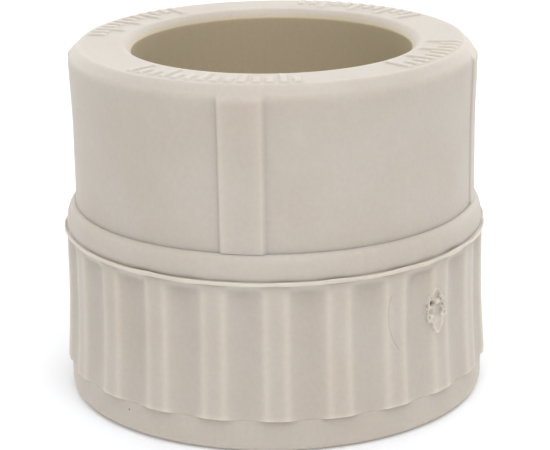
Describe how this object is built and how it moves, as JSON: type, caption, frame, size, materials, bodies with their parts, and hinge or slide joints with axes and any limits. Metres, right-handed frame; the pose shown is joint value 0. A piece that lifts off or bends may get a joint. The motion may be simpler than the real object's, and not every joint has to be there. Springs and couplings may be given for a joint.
{
  "type": "pipe transition adapter",
  "caption": "Straight plastic pipe adapter: a fusion socket at one end, a brass female pipe thread in a fluted grip at the other.",
  "frame": {"origin": "centre of the base, on the common axis, where the threaded end stands on a surface", "axes": "+Z along the common axis from the threaded end to the pipe socket, -Y towards the middle line of one grip crest"},
  "size_m": [0.0476, 0.0478, 0.0395],
  "materials": {
    "polypropylene": "warm light grey PP-R, moulded, fine matte texture",
    "nickel_plated_brass": "turned brass with bright nickel plating",
    "seal_rubber": "black moulded EPDM"
  },
  "bodies": {
    "root": {"ppr_body": "polypropylene", "brass_insert": "nickel_plated_brass", "insert_seal_ring": "seal_rubber"}
  },
  "joints": []
}
